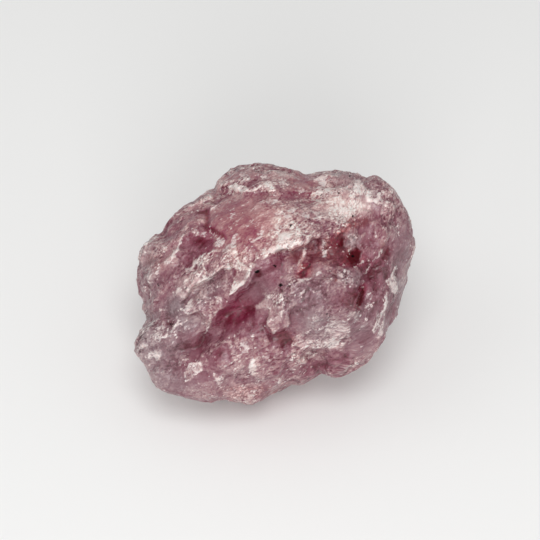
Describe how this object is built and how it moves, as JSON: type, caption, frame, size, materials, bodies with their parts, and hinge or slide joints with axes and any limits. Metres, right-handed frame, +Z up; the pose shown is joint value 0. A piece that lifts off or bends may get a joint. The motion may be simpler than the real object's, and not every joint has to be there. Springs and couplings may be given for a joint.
{
  "type": "rose quartz chunk",
  "caption": "Rough broken chunk of rose quartz with stepped fractures, a diagonal groove and ragged ledges; rests on a flat broken underside as a display or decor stone",
  "frame": {"origin": "centre of the bounding box's underside, on the plane that the flat underside rests on", "axes": "+Z up, +X along the longest extent to the viewer's right, -Y towards the viewer of the show side"},
  "size_m": [0.07, 0.0566, 0.0508],
  "materials": {
    "rose_quartz": "rough broken crystalline fracture, glassy on small faces, sugary and frosted on edges"
  },
  "bodies": {
    "root": {"rose_quartz_chunk": "rose_quartz"}
  },
  "joints": []
}
